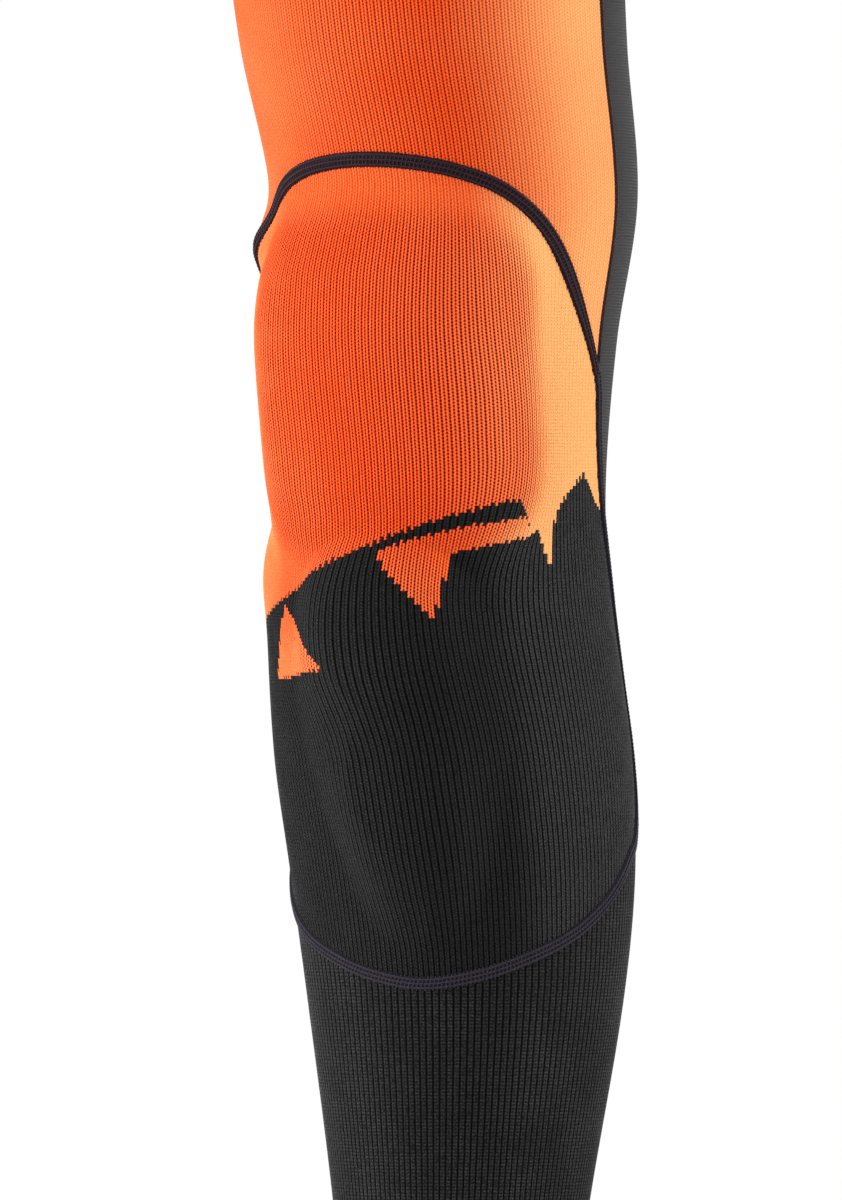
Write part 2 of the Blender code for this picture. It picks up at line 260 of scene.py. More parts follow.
def place(angle, z, out):
    """The points at angles and heights, that far out from the skin, in metres."""
    angle, z, out = np.broadcast_arrays(np.asarray(angle, float), z, out)
    half, shift_x, shift_y, front, back = leg_at(z)
    out = out + wrinkle(angle, z, *SHOULDER)
    round_leg = np.radians(angle + turn_at(z))
    depth = half * np.where(np.cos(round_leg) > 0, front, back)
    x = shift_x + (half + out) * np.sin(round_leg)
    y = shift_y - (depth + out) * np.cos(round_leg)
    return np.stack([x, y, z], axis=-1) * MM


def outside(angle, z, centre, tall, wide, square):
    """How far a place lies outside a rounded box on the skin; negative inside it."""
    u = np.radians(angle) * leg_at(z)[0]
    far = np.hypot(u, z - centre)
    ratio = (np.abs(u / wide) ** square + np.abs((z - centre) / tall) ** square) ** (1.0 / square)
    return np.where(ratio > 0.05, far * (1.0 - 1.0 / np.maximum(ratio, 0.05)), -wide)


def shin_box(z):
    """The shin part of the pad, narrower towards its lower end."""
    centre, tall, wide, square = SHIN_BOX
    narrower, start, end = SHIN_TAPER
    return centre, tall, wide - narrower * smooth(-z, start, end), square


def outside_pad(angle, z):
    return np.minimum(outside(angle, z, *CUP_BOX), outside(angle, z, *shin_box(z)))


def pad_thickness(angle, z):
    return PAD_EDGE_THICK + (PAD_THICK - PAD_EDGE_THICK) * smooth(-outside_pad(angle, z), 0.0, PAD_SLOPE)


def cover_height(angle, z):
    """How far out the knee cover lies: on the sleeve's level at its seams, and tented over the pad."""
    tent = 1.0 - smooth(outside_pad(angle, z), *TENT)
    height = CLOTH + tent * (PAD_BACK + pad_thickness(angle, z) + COVER_SLACK)
    for fold in FOLDS:
        height = height + wrinkle(angle, z, *fold)
    return height


def pad_half_angle(z):
    """Half the angle that the pad spans at a height."""
    found = []
    for centre, tall, wide, square in (CUP_BOX, shin_box(z)):
        part = np.maximum(0.0, 1.0 - np.abs((z - centre) / tall) ** square)
        found.append(wide * part ** (1.0 / square))
    return PAD_FIT * np.degrees(np.maximum(*found) / leg_at(z)[0])


# ---- Making meshes ----


def add_object(name, points, faces, surface, uv=None, values=None, merge=False):
    """A smooth-shaded object. uv gives wale and course at each point, values other numbers to store."""
    points = np.asarray(points, float).reshape(-1, 3)
    mesh = bpy.data.meshes.new(name)
    mesh.from_pydata(points.tolist(), [], [list(f) for f in faces])
    for key, (domain, numbers) in (values or {}).items():
        layer = mesh.attributes.new(key, "FLOAT", domain)
        layer.data.foreach_set("value", np.asarray(numbers, np.float32).ravel())
    if uv is not None:
        corner = np.empty(len(mesh.loops), np.int32)
        mesh.loops.foreach_get("vertex_index", corner)
        layer = mesh.uv_layers.new(name="knit")
        layer.data.foreach_set("uv", np.asarray(uv, np.float32).reshape(-1, 2)[corner].ravel())
    if merge:
        work = bmesh.new()
        work.from_mesh(mesh)
        bmesh.ops.remove_doubles(work, verts=work.verts, dist=1e-6)
        bmesh.ops.dissolve_degenerate(work, dist=1e-6, edges=work.edges)
        work.to_mesh(mesh)
        work.free()
    mesh.shade_smooth()
    mesh.materials.append(surface)
    made = bpy.data.objects.new(name, mesh)
    bpy.context.scene.collection.objects.link(made)
    return made


def grid_faces(rows, columns, closed=False, closed_rows=False):
    """Quads of a grid of points, whose last column or row may join its first."""
    r = np.arange(rows if closed_rows else rows - 1)[:, None]
    c = np.arange(columns if closed else columns - 1)[None, :]
    r1, c1 = (r + 1) % rows, (c + 1) % columns
    quads = np.stack([r * columns + c, r1 * columns + c, r1 * columns + c1, r * columns + c1], axis=-1)
    return quads.reshape(-1, 4)


def courses(high, low, step, fine=None):
    """Heights of the rows from high to low, closer together in the fine stretch."""
    rows = [high]
    while rows[-1] > low:
        near = fine and fine[0] > rows[-1] > fine[1]
        rows.append(max(low, rows[-1] - (COURSE if near else step)))
    return np.array(rows)


def wale_columns(first, last, wales):
    """Angles of the mesh columns, and each one's place in its wale."""
    step = 360.0 / (wales * COLUMNS_PER_WALE)
    index = np.arange(math.ceil(first / step), math.floor(last / step) + 1)
    return index * step, index % COLUMNS_PER_WALE


def knit_sheet(name, surface, wales, span, rows, limit, out, lean=None, rib=RIB, colour=None, openness=None,
               slack_and_painted_light=None, closed=False):
    """A single layer of knit over the leg, with its ribs as real relief.

    limit(angle, z) moves places beyond the sheet's edge onto it, out gives the height over the skin, lean
    turns the wales aside, colour gives each stitch its yarn, and openness says how far the stitches are
    stretched open. The paleness function given after it says how far they lie flat and pale, with painted
    side light and a painted highlight added to that paleness.
    """
    angles, phase = wale_columns(*span, wales)
    wanted_a, wanted_z = np.meshgrid(angles, rows)
    a, z = limit(wanted_a, wanted_z)
    free = (np.abs(a - wanted_a) < 1e-9) & (np.abs(z - wanted_z) < 1e-9)
    shown_a = a + (lean(a, z) if lean else 0.0)
    stretched = openness(shown_a, z) if openness else np.full_like(a, 0.5)
    relief = np.array(TWO_LEGS)[phase][None, :] * rib * free
    points = place(shown_a, z, out(shown_a, z) + relief)
    uv = np.stack([a * wales / 360.0, z / COURSE], axis=-1)
    faces = grid_faces(*a.shape, closed=closed)
    # How flat and pale the knit lies at each point, with painted side light added to it
    relaxed_and_lit = slack_and_painted_light(shown_a, z) if slack_and_painted_light else np.full_like(a, 0.5)
    values = {"stretched": ("POINT", stretched), "relaxed_and_lit": ("POINT", relaxed_and_lit)}
    if colour:
        middle_a = a.ravel()[faces].mean(1)
        middle_z = z.ravel()[faces].mean(1)
        wale = np.floor(middle_a * wales / 360.0)
        leg = np.floor(middle_a * wales / 180.0) % 2
        sample_a = (wale + 0.5) * 360.0 / wales
        sample_z = (np.floor(middle_z / COURSE) + 0.5 + 0.5 * leg) * COURSE
        shift = lean(sample_a, sample_z) if lean else 0.0
        values["yarn"] = ("FACE", colour(sample_a + shift, sample_z))
    return add_object(name, points, faces, surface, uv, values, merge=True)


def inside(corners, a, z):
    """Whether places lie inside an outline."""
    found = np.zeros(np.shape(a), bool)
    for (a0, z0), (a1, z1) in zip(corners, corners[1:] + corners[:1]):
        if z0 == z1:
            continue
        crosses = (z0 > z) != (z1 > z)
        found ^= crosses & (a < a0 + (z - z0) / (z1 - z0) * (a1 - a0))
    return found


def two_tone(a, z):
    """1 where the knee cover is orange, 0 where it is black."""
    edge = np.array(COLOUR_EDGE)
    orange = z > np.interp(a, edge[:, 0], edge[:, 1])
    for corners in (STRIPE_BELOW, *POINTS):
        orange |= inside(corners, a, z)
    return orange.astype(float)


# ---- Tubes for threads ----


def tubes(paths, ups, radius, sides=5, closed=False):
    """Round threads along several paths of equally many points, as points and faces."""
    count, length = paths.shape[:2]
    if closed:
        along = np.roll(paths, -1, axis=1) - np.roll(paths, 1, axis=1)
    else:
        along = np.gradient(paths, axis=1)
    along /= np.linalg.norm(along, axis=-1, keepdims=True)
    across = np.cross(along, ups)
    across /= np.linalg.norm(across, axis=-1, keepdims=True)
    normal = np.cross(across, along)
    turn = np.arange(sides) * 2.0 * math.pi / sides
    radius = np.broadcast_to(np.asarray(radius, float) * MM, (count, length))[..., None, None]
    ring = across[:, :, None] * np.cos(turn)[:, None] + normal[:, :, None] * np.sin(turn)[:, None]
    points = paths[:, :, None] + ring * radius
    one = grid_faces(length, sides, closed=True, closed_rows=closed)
    faces = [f for k in range(count) for f in (one + k * length * sides).tolist()]
    if not closed:
        for k in range(count):
            first = k * length * sides
            last = first + (length - 1) * sides
            faces.append(list(range(first, first + sides)))
            faces.append(list(range(last + sides - 1, last - 1, -1)))
    return points.reshape(-1, 3), faces


def joined(parts):
    """Several sets of points and faces as one."""
    points, faces, base = [], [], 0
    for some_points, some_faces in parts:
        points.append(some_points)
        faces += [[k + base for k in f] for f in some_faces]
        base += len(some_points)
    return np.vstack(points), faces


class Route:
    """A line on the skin that a seam follows, read by distance along it."""

    def __init__(self, places, closed=False):
        a, z = np.array(places, float).T
        radius = np.radians(leg_at(z)[0])
        mean_radius = 0.5 * (radius[1:] + radius[:-1])
        self.far = np.concatenate([[0.0], np.cumsum(np.hypot(np.diff(a) * mean_radius, np.diff(z)))])
        self.a, self.z, self.closed = a, z, closed
        self.length = float(self.far[-1])

    def at(self, far, aside):
        """Angle and height at a distance along the route and a distance to its side."""
        step = 1.0
        lo, hi = far - step, far + step
        if self.closed:
            lo, hi = lo % self.length, hi % self.length
            far = far % self.length
        a, z = np.interp(far, self.far, self.a), np.interp(far, self.far, self.z)
        run = np.interp(hi, self.far, self.a) - np.interp(lo, self.far, self.a)
        run = (run + 180.0) % 360.0 - 180.0
        rise = np.interp(hi, self.far, self.z) - np.interp(lo, self.far, self.z)
        radius = np.radians(leg_at(z)[0])
        long = np.hypot(run * radius, rise)
        return a - rise * aside / long / radius, z + run * radius * aside / long


def on_seam(route, far, aside, out):
    """Points on a seam, and the direction away from the leg there."""
    far, aside, out = np.broadcast_arrays(far, aside, out)
    a, z = route.at(far, aside)
    here = place(a, z, out)
    up = place(a, z, out + 1.0) - here
    return here, up / np.linalg.norm(up, axis=-1, keepdims=True)


def seam_height(share):
    """Height over the skin across a seam's domed body, where share runs from -1 to 1."""
    return SEAM_FOOT + (SEAM_CROWN - SEAM_FOOT) * np.sqrt(np.clip(1.0 - np.abs(share) ** 3, 0.0, 1.0))


def stitched_seam(name, surface, places, width, lift=0.0, rails=(-0.62, 0.0, 0.62), thread=0.34, closed=False,
                  ends=None):
    """A flat seam: a domed cord of cloth under rows of chain stitches, and threads that cross it.

    ends is its width at its two ends, if it narrows towards them.
    """
    route = Route(places, closed)

    def half_at(far):
        last = width if ends is None else ends
        return 0.5 * (last + (width - last) * smooth(np.minimum(far, route.length - far), 0.0, SEAM_TAPER))

    stitches = max(4, round(route.length / STITCH))
    far = np.linspace(0.0, route.length, 2 * stitches, endpoint=not closed)
    half = half_at(far)
    shares = np.array((-1.0, -0.85, -0.5, 0.0, 0.5, 0.85, 1.0))
    top, _ = on_seam(route, far[:, None], shares * half[:, None], lift + seam_height(shares))
    foot, _ = on_seam(route, far[:, None], shares[::-1] * half[:, None], lift + SEAM_FOOT - 0.25)
    body = np.concatenate([top, foot], axis=1)
    faces = grid_faces(len(far), 2 * len(shares), closed=True, closed_rows=closed).tolist()
    if not closed:
        ring = 2 * len(shares)
        faces.append(list(range(ring)))
        faces.append(list(range(len(far) * ring - 1, (len(far) - 1) * ring - 1, -1)))
    parts = [(body.reshape(-1, 3), faces)]

    beat = np.arange(len(far)) % 2
    for share in rails:
        path, up = on_seam(route, far, share * half, lift + seam_height(share) + 0.12)
        radius = thread * (1.25 - 0.45 * beat)
        parts.append(tubes(path[None], up[None], radius[None], closed=closed))

    start = (np.arange(stitches) + 0.5) * route.length / stitches
    across = np.array((-0.98, -0.6, -0.2, 0.2, 0.6, 0.98))
    slant = 0.55 * STITCH
    aside = across * half_at(start)[:, None]
    path, up = on_seam(route, start[:, None] + slant * across, aside, lift + seam_height(across) + 0.05)
    parts.append(tubes(path, up, 0.8 * thread, sides=4))
    points, faces = joined(parts)
    raised = (np.arange(len(points)) >= body.shape[0] * body.shape[1]).astype(float)
    return add_object(name, points, faces, surface, values={"raised": ("POINT", raised)})


# ---- Materials ----


def value(tree, operation, *inputs, clamp=False):
    """The result of a Math node on sockets or numbers."""
    node = tree.nodes.new("ShaderNodeMath")
    node.operation = operation
    node.use_clamp = clamp
    for slot, given in zip(node.inputs, inputs):
        if isinstance(given, (int, float)):
            slot.default_value = given
        else:
            tree.links.new(given, slot)
    return node.outputs[0]


def mapped(tree, given, low, high, to_low=0.0, to_high=1.0):
    node = tree.nodes.new("ShaderNodeMapRange")
    node.interpolation_type = "SMOOTHSTEP"
    tree.links.new(given, node.inputs["Value"])
    for key, number in zip(("From Min", "From Max", "To Min", "To Max"), (low, high, to_low, to_high)):
        node.inputs[key].default_value = number
    return node.outputs[0]


def blended(tree, share, first, second):
    """A colour between two colours or sockets."""
    node = tree.nodes.new("ShaderNodeMix")
    node.data_type = "RGBA"
    colour_inputs = [s for s in node.inputs if s.type == "RGBA"]
    tree.links.new(share, node.inputs[0])
    for slot, given in zip(colour_inputs, (first, second)):
        if isinstance(given, tuple):
            slot.default_value = (*given, 1.0)
        else:
            tree.links.new(given, slot)
    return next(s for s in node.outputs if s.type == "RGBA")


def noise(tree, scale, detail=2.0):
    where = tree.nodes.new("ShaderNodeTexCoord")
    node = tree.nodes.new("ShaderNodeTexNoise")
    node.inputs["Scale"].default_value = scale
    node.inputs["Detail"].default_value = detail
    tree.links.new(where.outputs["Object"], node.inputs["Vector"])
    return node.outputs["Fac"]


def attribute(tree, name):
    node = tree.nodes.new("ShaderNodeAttribute")
    node.attribute_name = name
    return node.outputs["Fac"]


def wave(tree, turns):
    """Cosine of a number of whole turns."""
    return value(tree, "COSINE", value(tree, "MULTIPLY", turns, 2.0 * math.pi))


def new_material(name, roughness, specular=0.3, sheen=0.0, sheen_tint=(1.0, 1.0, 1.0), sheen_roughness=0.5):
    made = bpy.data.materials.new(name)
    made.use_nodes = True
    shader = made.node_tree.nodes["Principled BSDF"]
    shader.inputs["Roughness"].default_value = roughness
    shader.inputs["Specular IOR Level"].default_value = specular
    shader.inputs["Sheen Weight"].default_value = sheen
    shader.inputs["Sheen Roughness"].default_value = sheen_roughness
    shader.inputs["Sheen Tint"].default_value = (*sheen_tint, 1.0)
    return made, made.node_tree, shader


def bump(tree, shader, height, distance, strength=1.0):
    node = tree.nodes.new("ShaderNodeBump")
    node.inputs["Distance"].default_value = distance * MM
    node.inputs["Strength"].default_value = strength
    tree.links.new(height, node.inputs["Height"])
    tree.links.new(node.outputs["Normal"], shader.inputs["Normal"])


def stitch_pattern(tree):
    """Wale and course numbers with a slight unevenness, for the waves that stitches are made of."""
    map_node = tree.nodes.new("ShaderNodeUVMap")
    map_node.uv_map = "knit"
    split = tree.nodes.new("ShaderNodeSeparateXYZ")
    tree.links.new(map_node.outputs["UV"], split.inputs["Vector"])
    uneven = value(tree, "SUBTRACT", noise(tree, 90.0), 0.5)
    wale = value(tree, "ADD", split.outputs["X"], value(tree, "MULTIPLY", uneven, 0.10))
    course = value(tree, "ADD", split.outputs["Y"], value(tree, "MULTIPLY", uneven, 0.5))
    return wale, course


def knit_material(name, deep, light, hole, hole_size=0.2, vee=0.5, dark=None, painted_rib_sheen=0.0):
    """Knitted yarn: ribs, V-shaped stitches and staggered holes, deeper in colour where it is stretched and
    paler where it lies slack, with painted side light and painted highlights on the stitch crests added to
    that paleness.

    A higher hole_size makes smaller holes, and vee is how dark the gaps between stitches are. dark is the
    second yarn of a two-tone knit, and the last argument gives its painted sheen: how much lighter the tops
    of its ribs are painted.
    """
    made, tree, shader = new_material(name, 0.85, specular=0.02, sheen=0.08, sheen_roughness=0.4)
    wale, course = stitch_pattern(tree)
    twice = wave(tree, value(tree, "MULTIPLY", wale, 2.0))
    once = wave(tree, wale)
    rung = wave(tree, course)
    stretched, relaxed_and_lit = attribute(tree, "stretched"), attribute(tree, "relaxed_and_lit")

    valley = value(tree, "ADD", twice, value(tree, "MULTIPLY", once, 0.2))
    staggered = value(tree, "MULTIPLY", once, rung)
    dots = mapped(tree, value(tree, "ADD", valley, staggered), hole_size, hole_size + 1.1)
    lines = value(tree, "MULTIPLY", mapped(tree, valley, 0.0, 1.1), 0.55)
    holes = value(tree, "MAXIMUM", dots, lines)
    holes = value(tree, "MULTIPLY", holes, mapped(tree, stretched, 0.0, 0.9, 0.06, 1.0))

    zigzag = value(tree, "ABSOLUTE", value(tree, "SUBTRACT", value(tree, "FRACT", wale), 0.5))
    slanted = value(tree, "ADD", course, value(tree, "MULTIPLY", zigzag, 1.6))
    legs = value(tree, "MULTIPLY", value(tree, "ADD", wave(tree, slanted), 1.0), 0.5)
    crest = mapped(tree, valley, 0.4, -0.9)
    gap = value(tree, "MULTIPLY", value(tree, "SUBTRACT", 1.0, legs), vee)

    tone = mapped(tree, noise(tree, 14.0, 3.0), 0.3, 0.7, -0.06, 0.06)
    fibre = mapped(tree, noise(tree, 2600.0, 1.0), 0.3, 0.7, -0.08, 0.08)
    # Paleness of the knit lying slack, which also carries painted side light, with random tone and fibres
    lighter = value(tree, "ADD", value(tree, "ADD", relaxed_and_lit, tone), fibre)
    # Painted highlight: the stitch crests are made paler
    lighter = value(tree, "ADD", lighter, value(tree, "MULTIPLY", crest, 0.16), clamp=True)
    colour = blended(tree, lighter, deep, light)
    shaded = value(tree, "MULTIPLY", gap, mapped(tree, relaxed_and_lit, 0.0, 1.0, 0.6, 0.3), clamp=True)
    colour = blended(tree, shaded, colour, hole)
    colour = blended(tree, holes, colour, hole)
    if dark:
        # Painted sheen on the black yarn: rib tops lightened, weaker between courses, and stronger towards
        # the sides as painted side light
        tops = mapped(tree, value(tree, "ADD", twice, value(tree, "MULTIPLY", once, 0.9)), 0.8, -0.7)
        painted_sheen = value(tree, "MULTIPLY", tops, mapped(tree, fibre, -0.08, 0.08, 0.25, 1.0))
        painted_sheen = value(tree, "MULTIPLY", painted_sheen, mapped(tree, rung, -1.0, 1.0, 1.0, 0.65))
        painted_sheen = value(tree, "MULTIPLY", painted_sheen, mapped(tree, relaxed_and_lit, 0.0, 1.0, 0.40, 1.0))
        ribs = blended(tree, painted_sheen, dark, tuple(c + painted_rib_sheen for c in dark))
        colour = blended(tree, attribute(tree, "yarn"), ribs, colour)
    tree.links.new(colour, shader.inputs["Base Color"])

    height = value(tree, "SUBTRACT", value(tree, "MULTIPLY", legs, 0.6), value(tree, "MULTIPLY", holes, 1.4))
    height = value(tree, "ADD", height, value(tree, "MULTIPLY", crest, 0.5))
    bump(tree, shader, height, 0.35, 0.8)
    return made


def black_knit_material(name, dark, painted_rib_sheen, ribs=1.0):
    """Round ribs, one or two to a wale, with their courses showing as rows of dots, and a painted sheen on
    the rib tops.
    """
    made, tree, shader = new_material(name, 0.85, specular=0.03, sheen=0.12, sheen_roughness=0.4)
    wale, course = stitch_pattern(tree)
    rung = wave(tree, course)
    valley = value(tree, "ADD", wave(tree, value(tree, "MULTIPLY", wale, ribs)), wave(tree, wale))
    crest = mapped(tree, valley, 1.2, -0.8)
    fibre = mapped(tree, noise(tree, 1600.0, 2.0), 0.35, 0.65, 0.25, 1.0)
    weave = mapped(tree, rung, -1.0, 1.0, 0.40, 1.0)
    weave = value(tree, "MULTIPLY", weave, mapped(tree, noise(tree, 30.0, 3.0), 0.3, 0.7, 0.7, 1.15))
    # Painted sheen: the rib tops are lightened in colour, in rows along the courses
    painted_sheen = value(tree, "MULTIPLY", value(tree, "MULTIPLY", crest, fibre), weave)
    tree.links.new(blended(tree, painted_sheen, dark, tuple(c + painted_rib_sheen for c in dark)), shader.inputs["Base Color"])
    height = value(tree, "ADD", value(tree, "MULTIPLY", crest, 1.0), value(tree, "MULTIPLY", rung, 0.3))
    bump(tree, shader, height, 0.3, 0.8)
    return made


def twill_material(name, dark, light):
    """Smooth warp knit with a fine diagonal line, for the panel behind the knee."""
    made, tree, shader = new_material(name, 0.8, specular=0.08, sheen=0.10, sheen_roughness=0.5)
    wale, course = stitch_pattern(tree)
    slanted = value(tree, "ADD", value(tree, "MULTIPLY", wale, 2.0), value(tree, "MULTIPLY", course, 1.1))
    diagonal = wave(tree, slanted)
    rung = wave(tree, value(tree, "MULTIPLY", course, 2.0))
    fibre = mapped(tree, noise(tree, 2200.0, 2.0), 0.3, 0.7, 0.0, 1.0)
    line = mapped(tree, value(tree, "ADD", diagonal, value(tree, "MULTIPLY", rung, 0.35)), -1.0, 1.2)
    share = value(tree, "MULTIPLY", line, mapped(tree, fibre, 0.0, 1.0, 0.5, 1.0))
    tree.links.new(blended(tree, share, dark, light), shader.inputs["Base Color"])
    bump(tree, shader, line, 0.18, 0.8)
    return made


def thread_material(name, dark, light):
    made, tree, shader = new_material(name, 0.7, specular=0.12, sheen=0.08, sheen_roughness=0.4)
    fibre = mapped(tree, noise(tree, 1500.0, 3.0), 0.35, 0.7, 0.5, 1.0)
    share = value(tree, "MULTIPLY", fibre, mapped(tree, attribute(tree, "raised"), 0.0, 1.0, 0.1, 1.0))
    tree.links.new(blended(tree, share, dark, light), shader.inputs["Base Color"])
    bump(tree, shader, fibre, 0.08)
    return made


def speckled_material(name, dark, light, roughness, scale, depth, specular=0.3):
    """Foam, silicone and felt: two close tones and a fine grain."""
    made, tree, shader = new_material(name, roughness, specular=specular)
    grain = mapped(tree, noise(tree, scale, 3.0), 0.35, 0.65)
    tree.links.new(blended(tree, grain, dark, light), shader.inputs["Base Color"])
    bump(tree, shader, grain, depth)
    return made


def net_material(name, dark, light):
    """Open mesh cloth: threads round small dark holes."""
    made, tree, shader = new_material(name, 0.8, specular=0.2, sheen=0.2)
    wale, course = stitch_pattern(tree)
    cells = value(tree, "ADD", wave(tree, wale), wave(tree, course))
    thread = mapped(tree, cells, 0.9, 0.1)
    tree.links.new(blended(tree, thread, dark, light), shader.inputs["Base Color"])
    bump(tree, shader, thread, 0.3)
    return made


# ---- Knit panels ----


def bends(piece):
    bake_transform(piece)


def flat_level(a, z):
    return np.full_like(a, CLOTH)


def thigh_knit(surface):
    top = TOP_CUFF_LOW - 0.5

    def limit(a, z):
        return a, np.clip(z, top_edge(a) + EDGE_GAP, top)

    def openness(a, z):
        return 0.8 * (1.0 - smooth(np.abs(a - 16.0), 12.0, 66.0))

    # Paleness: partly the knit lying slack towards the sides, partly painted side light
    def slack_and_painted_light(a, z):
        return 0.12 * smooth(-a, -10.0, 40.0) + 0.75 * smooth(a, 24.0, 80.0)

    rows = courses(top, PANEL_HALF[TAIL, 1], 2.0 * COURSE)
    piece = knit_sheet("thigh_knit", surface, THIGH_WALES, (-BACK_EDGE, BACK_EDGE), rows, limit, flat_level,
                       rib=0.28, openness=openness, slack_and_painted_light=slack_and_painted_light)
    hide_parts("thigh_panel")
    bends(piece)


def knee_knit(surface):
    def limit(a, z):
        return a, np.clip(z, low_edge(a) + EDGE_GAP, top_edge(a) - EDGE_GAP)

    def lean(a, z):
        left = swell(a, -30.0, 28.0) * smooth(-z, 18.0, 74.0) * (1.0 - smooth(-z, 78.0, 116.0))
        right = swell(a, 34.0, 22.0) * smooth(-z, 20.0, 60.0) * (1.0 - smooth(-z, 66.0, 120.0))
        both = swell(np.abs(a), 44.0, 20.0) * smooth(-z, -92.0, -10.0) * (1.0 - smooth(-z, 0.0, 60.0))
        return -11.0 * left - 3.0 * right + 7.0 * np.sign(a) * both

    def openness(a, z):
        return 0.35 * (1.0 - smooth(a, 44.0, 60.0)) + 0.65 * smooth(-outside_pad(a, z), -8.0, 12.0)

    # Paleness: the knit lying slack off the cup, plus painted side light on both sides and a painted
    # highlight on the shin
    def slack_and_painted_light(a, z):
        off_cup = smooth(outside(a, z, *CUP_BOX), -14.0, 10.0)
        right = 0.2 * smooth(a, 18.0, 46.0) + 0.8 * off_cup * smooth(a, 28.0, 56.0)
        left = 0.3 * smooth(-a, 30.0, 60.0)
        # Painted highlight on the shin, left of centre, where the left lamp would fall
        shin = 0.26 * smooth(-z, 50.0, 80.0) * smooth(-a, -16.0, 10.0)
        return np.maximum(np.maximum(right + left, 0.12 * off_cup), shin)

    widest = PANEL_HALF[WIDEST, 0]
    rows = courses(PANEL_HALF[0, 1], PANEL_HALF[-1, 1], 2.0 * COURSE, fine=(4.0, -92.0))
    piece = knit_sheet("knee_knit", surface, KNEE_WALES, (-widest, widest), rows, limit, cover_height,
                       lean=lean, colour=two_tone, openness=openness, slack_and_painted_light=slack_and_painted_light)
    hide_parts("knee_panel")
    bends(piece)


def back_knit(surface):
    top = TOP_CUFF_LOW - 0.5

    def limit(a, z):
        side = np.maximum(side_edge(np.minimum(z, PANEL_HALF[TAIL, 1])), BACK_EDGE) + 0.3
        return np.clip(a, side, 360.0 - side), z

    rows = courses(top, CALF_SEAM, 2.0 * COURSE)
    span = (BACK_EDGE + 0.3, 359.7 - BACK_EDGE)
    piece = knit_sheet("back_knit", surface, BACK_WALES, span, rows, limit, flat_level, rib=0.12)
    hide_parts("back_panel")
    bends(piece)


def calf_knit(surface):
    low = BOTTOM_CUFF_HIGH + 0.5
    corner = PANEL_HALF[CORNER, 0]

    def limit(a, z):
        round_a = (a + 180.0) % 360.0 - 180.0
        edge = np.where(np.abs(round_a) < corner, low_edge(round_a), CALF_SEAM)
        return a, np.clip(z, low, edge - EDGE_GAP)

    step = 360.0 / (CALF_WALES * COLUMNS_PER_WALE)
    rows = courses(CALF_SEAM, low, 2.0 * COURSE)
    piece = knit_sheet("calf_knit", surface, CALF_WALES, (-180.0, 180.0 - step), rows, limit, flat_level,
                       closed=True)
    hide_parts("calf_sleeve")
    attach(piece, "shin")


def welt(name, surface, low, high, ribs, replaced, body):
    """A cuff: two layers of rib knit, turned over at the hem."""
    t = np.linspace(0.0, math.pi, 7)
    bulge = 0.5 * CUFF_THICK
    outer = [(z, CUFF_THICK) for z in np.linspace(low + bulge, high - bulge, 12)]
    over = [(high - bulge + bulge * math.sin(x), bulge + bulge * math.cos(x)) for x in t[1:-1]]
    inner = [(z, 0.0) for z in np.linspace(high - bulge, low + bulge, 12)]
    under = [(low + bulge - bulge * math.sin(x), bulge - bulge * math.cos(x)) for x in t[1:-1]]
    profile = np.array(outer + over + inner + under)
    columns = ribs * COLUMNS_PER_WALE
    a = np.arange(columns) * 360.0 / columns
    rib = 0.4 * np.array((0.0, -0.5, -1.0, -0.5))[np.arange(columns) % COLUMNS_PER_WALE]
    side = np.where(profile[:, 1] > bulge, 1.0, -0.5) * np.minimum(1.0, np.abs(profile[:, 1] - bulge) / bulge)
    out = profile[:, 1:] + side[:, None] * rib
    points = place(a[None, :], profile[:, :1], out)
    uv = np.stack(np.broadcast_arrays(a * ribs / 360.0, profile[:, :1] / COURSE), axis=-1)
    piece = add_object(name, points, grid_faces(len(profile), columns, True, True), surface, uv)
    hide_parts(replaced)
    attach(piece, body)


def grip(name, surface, z, replaced, body):
    """A silicone band inside a cuff, with a raised wave that holds the skin."""
    columns, sides = 240, 10
    a = np.arange(columns) * 360.0 / columns
    turn = np.arange(sides) * 2.0 * math.pi / sides
    height = z + 3.4 * np.sin(turn)[:, None] + 0.5 * np.sin(np.radians(a * 30.0))
    out = -0.85 + (0.40 + 0.12 * np.cos(np.radians(a * 60.0))) * np.cos(turn)[:, None]
    points = place(a[None, :], height, out)
    piece = add_object(name, points, grid_faces(sides, columns, True, True), surface)
    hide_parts(replaced)
    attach(piece, body)


# ---- Seams ----


def mirrored(places):
    return [(-a, z) for a, z in places]


def add_seam(piece, replaced, bent, body="shin"):
    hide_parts(replaced)
    if bent:
        bends(piece)
    else:
        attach(piece, body)


